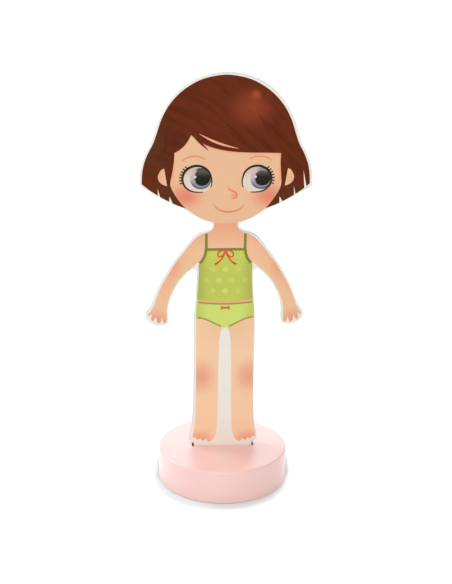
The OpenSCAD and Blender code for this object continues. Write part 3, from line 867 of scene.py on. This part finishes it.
def pupil_paint(tree, position):
    across, up = from_eye(tree, position, pupil_from_eye)
    reach = away(tree, across, up)
    up_left = sums(tree, "SUBTRACT", up, across)
    tone = over(tree, pupil_black, pupil_grey, fade(tree, up, *pupil_up))
    flecks = noise(tree, position, fleck_size)
    tone = over(tree, tone, pupil_fleck, fade(tree, flecks, *flecks_show))
    soft_edge = sums(tree, "MULTIPLY", fade(tree, reach, *pupil_edge_round),
                     fade(tree, up_left, *pupil_edge_up_left))
    under_left_lid = sums(tree, "MULTIPLY", fade(tree, up, *left_pupil_up), in_left_eye(tree, position))
    edge_tone = over(tree, iris_pale, left_lid_shade, under_left_lid)
    return over(tree, tone, edge_tone, soft_edge)


def glint_paint(tree, position):
    reach = away(tree, *from_eye(tree, position, glint_from_eye))
    return over(tree, glint_lilac, iris_pale, fade(tree, reach, *glint_round))


wear("eye_outline_print", printed("eye_line_ink", eye_line_paint, mottle=0.10))
wear("eye_white_print", printed("eye_white_ink", eye_white_paint, mottle=0.05))
wear("iris_print", printed("iris_ink", iris_paint, mottle=0.06))
wear("pupil_print", printed("pupil_ink", pupil_paint, mottle=0.10))
wear("eye_glint_print", printed("eye_glint_ink", glint_paint, mottle=0.04))

# Printed brows, nose and mouth
# Thin coral lines drawn with a brush: two brows, a small round nose and a smile. Each is printed over
# the face in an ink of its own.
brow_soft = colour(224, 152, 120)
brow_deep = colour(218, 138, 108)
nose_coral = colour(226, 126, 102)
nose_pale = colour(234, 158, 126)
mouth_coral = colour(221, 112, 91)
mouth_pale = colour(229, 134, 108)
brow_change = 2 * mm
mouth_change = 3 * mm
nose_top = (0.8, 157, 3, 3.4, 0.9)


def brow_paint(tree, position):
    return over(tree, brow_soft, brow_deep, noise(tree, position, brow_change))


def nose_paint(tree, position):
    return over(tree, nose_coral, nose_pale, spot(tree, position, *nose_top))


def mouth_paint(tree, position):
    return over(tree, mouth_coral, mouth_pale, noise(tree, position, mouth_change))


wear("eyebrows_print", printed("brow_ink", brow_paint, mottle=0.08))
wear("nose_print", printed("nose_ink", nose_paint, mottle=0.06))
wear("mouth_print", printed("mouth_ink", mouth_paint, mottle=0.08))

# Printed camisole
# A lime knit camisole with soft paler dots that fade towards the sides, corded olive trim along its neck and
# armholes, and a ribbon tied in a bow with two long tails.
knit = colour(190, 197, 92)
knit_shade = colour(174, 177, 86)
knit_light = colour(198, 204, 92)
dot_light = colour(208, 217, 107)
dot_radius = 2.1 * mm
dot_core = 0.55 * dot_radius
dot_pitch = 7.2 * mm
# Each row of dots: its shift to the left, as a share of the pitch, and its height
dot_rows = ((0.0, 109.0), (0.5, 102.6), (0.0, 96.2))
dots_middle = -2.2 * mm
dots_fade = (2.5 * mm, 6 * mm, 0.75, 0.35)
knit_light_height = (106, 118)
knit_light_hem = (0, 92, 14, 5, 0.5)
knit_side = (8 * mm, 15.5 * mm)
stitch_size = 0.7 * mm
stitches_show = (0.5, 0.75, 0.0, 0.5)
trim_olive = colour(143, 139, 67)
trim_dark = colour(112, 108, 46)
cord_pitch = 1.3 * mm
cord_slant = radians(45)
cord_groove = (-0.3, 0.7)
ribbon = colour(223, 86, 66)
ribbon_pink = colour(236, 92, 112)
ribbon_deep = colour(206, 66, 44)
ribbon_bow = (0, 116.5, 7, 6, 1.0)
ribbon_knot = (0, 119.6, 2.4, 1.6, 0.9)
ribbon_fold_size = 1.2 * mm
ribbon_folds = (0.5, 0.8, 0.0, 0.6)


def knit_paint(tree, position):
    across, up = right_and_up(tree, position)
    side = sums(tree, "ABSOLUTE", across)
    tone = over(tree, knit, knit_light, fade_up(tree, up, *knit_light_height))
    tone = over(tree, tone, knit_light, spot(tree, position, *knit_light_hem))
    tone = over(tree, tone, knit_shade, fade(tree, side, *knit_side))
    stitches = noise(tree, position, stitch_size)
    return over(tree, tone, knit_shade, fade(tree, stitches, *stitches_show))


def dot_paint(tree, position):
    across, up = right_and_up(tree, position)
    from_middle = sums(tree, "ABSOLUTE", sums(tree, "SUBTRACT", across, dots_middle))
    strength = fade(tree, from_middle, *dots_fade)
    tone = knit_paint(tree, position)
    for shift, height in dot_rows:
        steps = sums(tree, "ADD", sums(tree, "DIVIDE", across, dot_pitch), shift + 0.5)
        past_middle = sums(tree, "SUBTRACT", sums(tree, "FRACT", steps), 0.5)
        off_x = sums(tree, "MULTIPLY", past_middle, dot_pitch)
        off_z = sums(tree, "SUBTRACT", up, level(height))
        dot = fade(tree, away(tree, off_x, off_z), dot_radius, dot_core)
        tone = over(tree, tone, dot_light, sums(tree, "MULTIPLY", dot, strength))
    return tone


def trim_paint(tree, position):
    slant = place(tree, "ShaderNodeMapping", {"Vector": position, "Rotation": (0, cord_slant, 0)}).outputs[0]
    twist = sums(tree, "SINE", sums(tree, "MULTIPLY", split(tree, slant)[0], tau / cord_pitch))
    return over(tree, trim_olive, trim_dark, fade(tree, twist, *cord_groove))


def bow_paint(tree, position):
    tone = over(tree, ribbon_deep, ribbon, spot(tree, position, *ribbon_bow))
    tone = over(tree, tone, ribbon_pink, spot(tree, position, *ribbon_knot))
    folds = noise(tree, position, ribbon_fold_size)
    return over(tree, tone, ribbon_deep, fade(tree, folds, *ribbon_folds))


wear("camisole_print", printed("camisole_ink", knit_paint, mottle=0.14))
wear("camisole_dots_print", printed("dot_ink", dot_paint, mottle=0.14))
wear("camisole_trim_print", printed("camisole_trim_ink", trim_paint, mottle=0.12))
wear("camisole_bow_print", printed("camisole_bow_ink", bow_paint, mottle=0.08))

# Printed briefs
# Paler lime briefs with thin olive trim round the waist and legs and a small flat orange bow. They are
# printed in fine stitches, like the camisole.
briefs = colour(206, 217, 113)
briefs_shade = colour(188, 198, 98)
briefs_trim = colour(168, 160, 88)
briefs_trim_dark = colour(146, 134, 72)
small_bow = colour(216, 112, 64)
small_knot = colour(198, 84, 46)
small_knot_spot = (0.2, 86, 1.2, 1.4, 0.8)
briefs_side = (8 * mm, 16.5 * mm, 0.0, 0.9)
briefs_stitch_size = 0.8 * mm
briefs_stitches_show = (0.5, 0.8, 0.0, 0.4)
briefs_trim_change = 1.5 * mm


def briefs_paint(tree, position):
    side = sums(tree, "ABSOLUTE", split(tree, position)[0])
    tone = over(tree, briefs, briefs_shade, fade(tree, side, *briefs_side))
    stitches = noise(tree, position, briefs_stitch_size)
    return over(tree, tone, briefs_shade, fade(tree, stitches, *briefs_stitches_show))


def briefs_trim_paint(tree, position):
    return over(tree, briefs_trim, briefs_trim_dark, noise(tree, position, briefs_trim_change))


def small_bow_paint(tree, position):
    return over(tree, small_bow, small_knot, spot(tree, position, *small_knot_spot))


wear("briefs_print", printed("briefs_ink", briefs_paint, mottle=0.12))
wear("briefs_trim_print", printed("briefs_trim_ink", briefs_trim_paint, mottle=0.10))
wear("briefs_bow_print", printed("briefs_bow_ink", small_bow_paint, mottle=0.08))
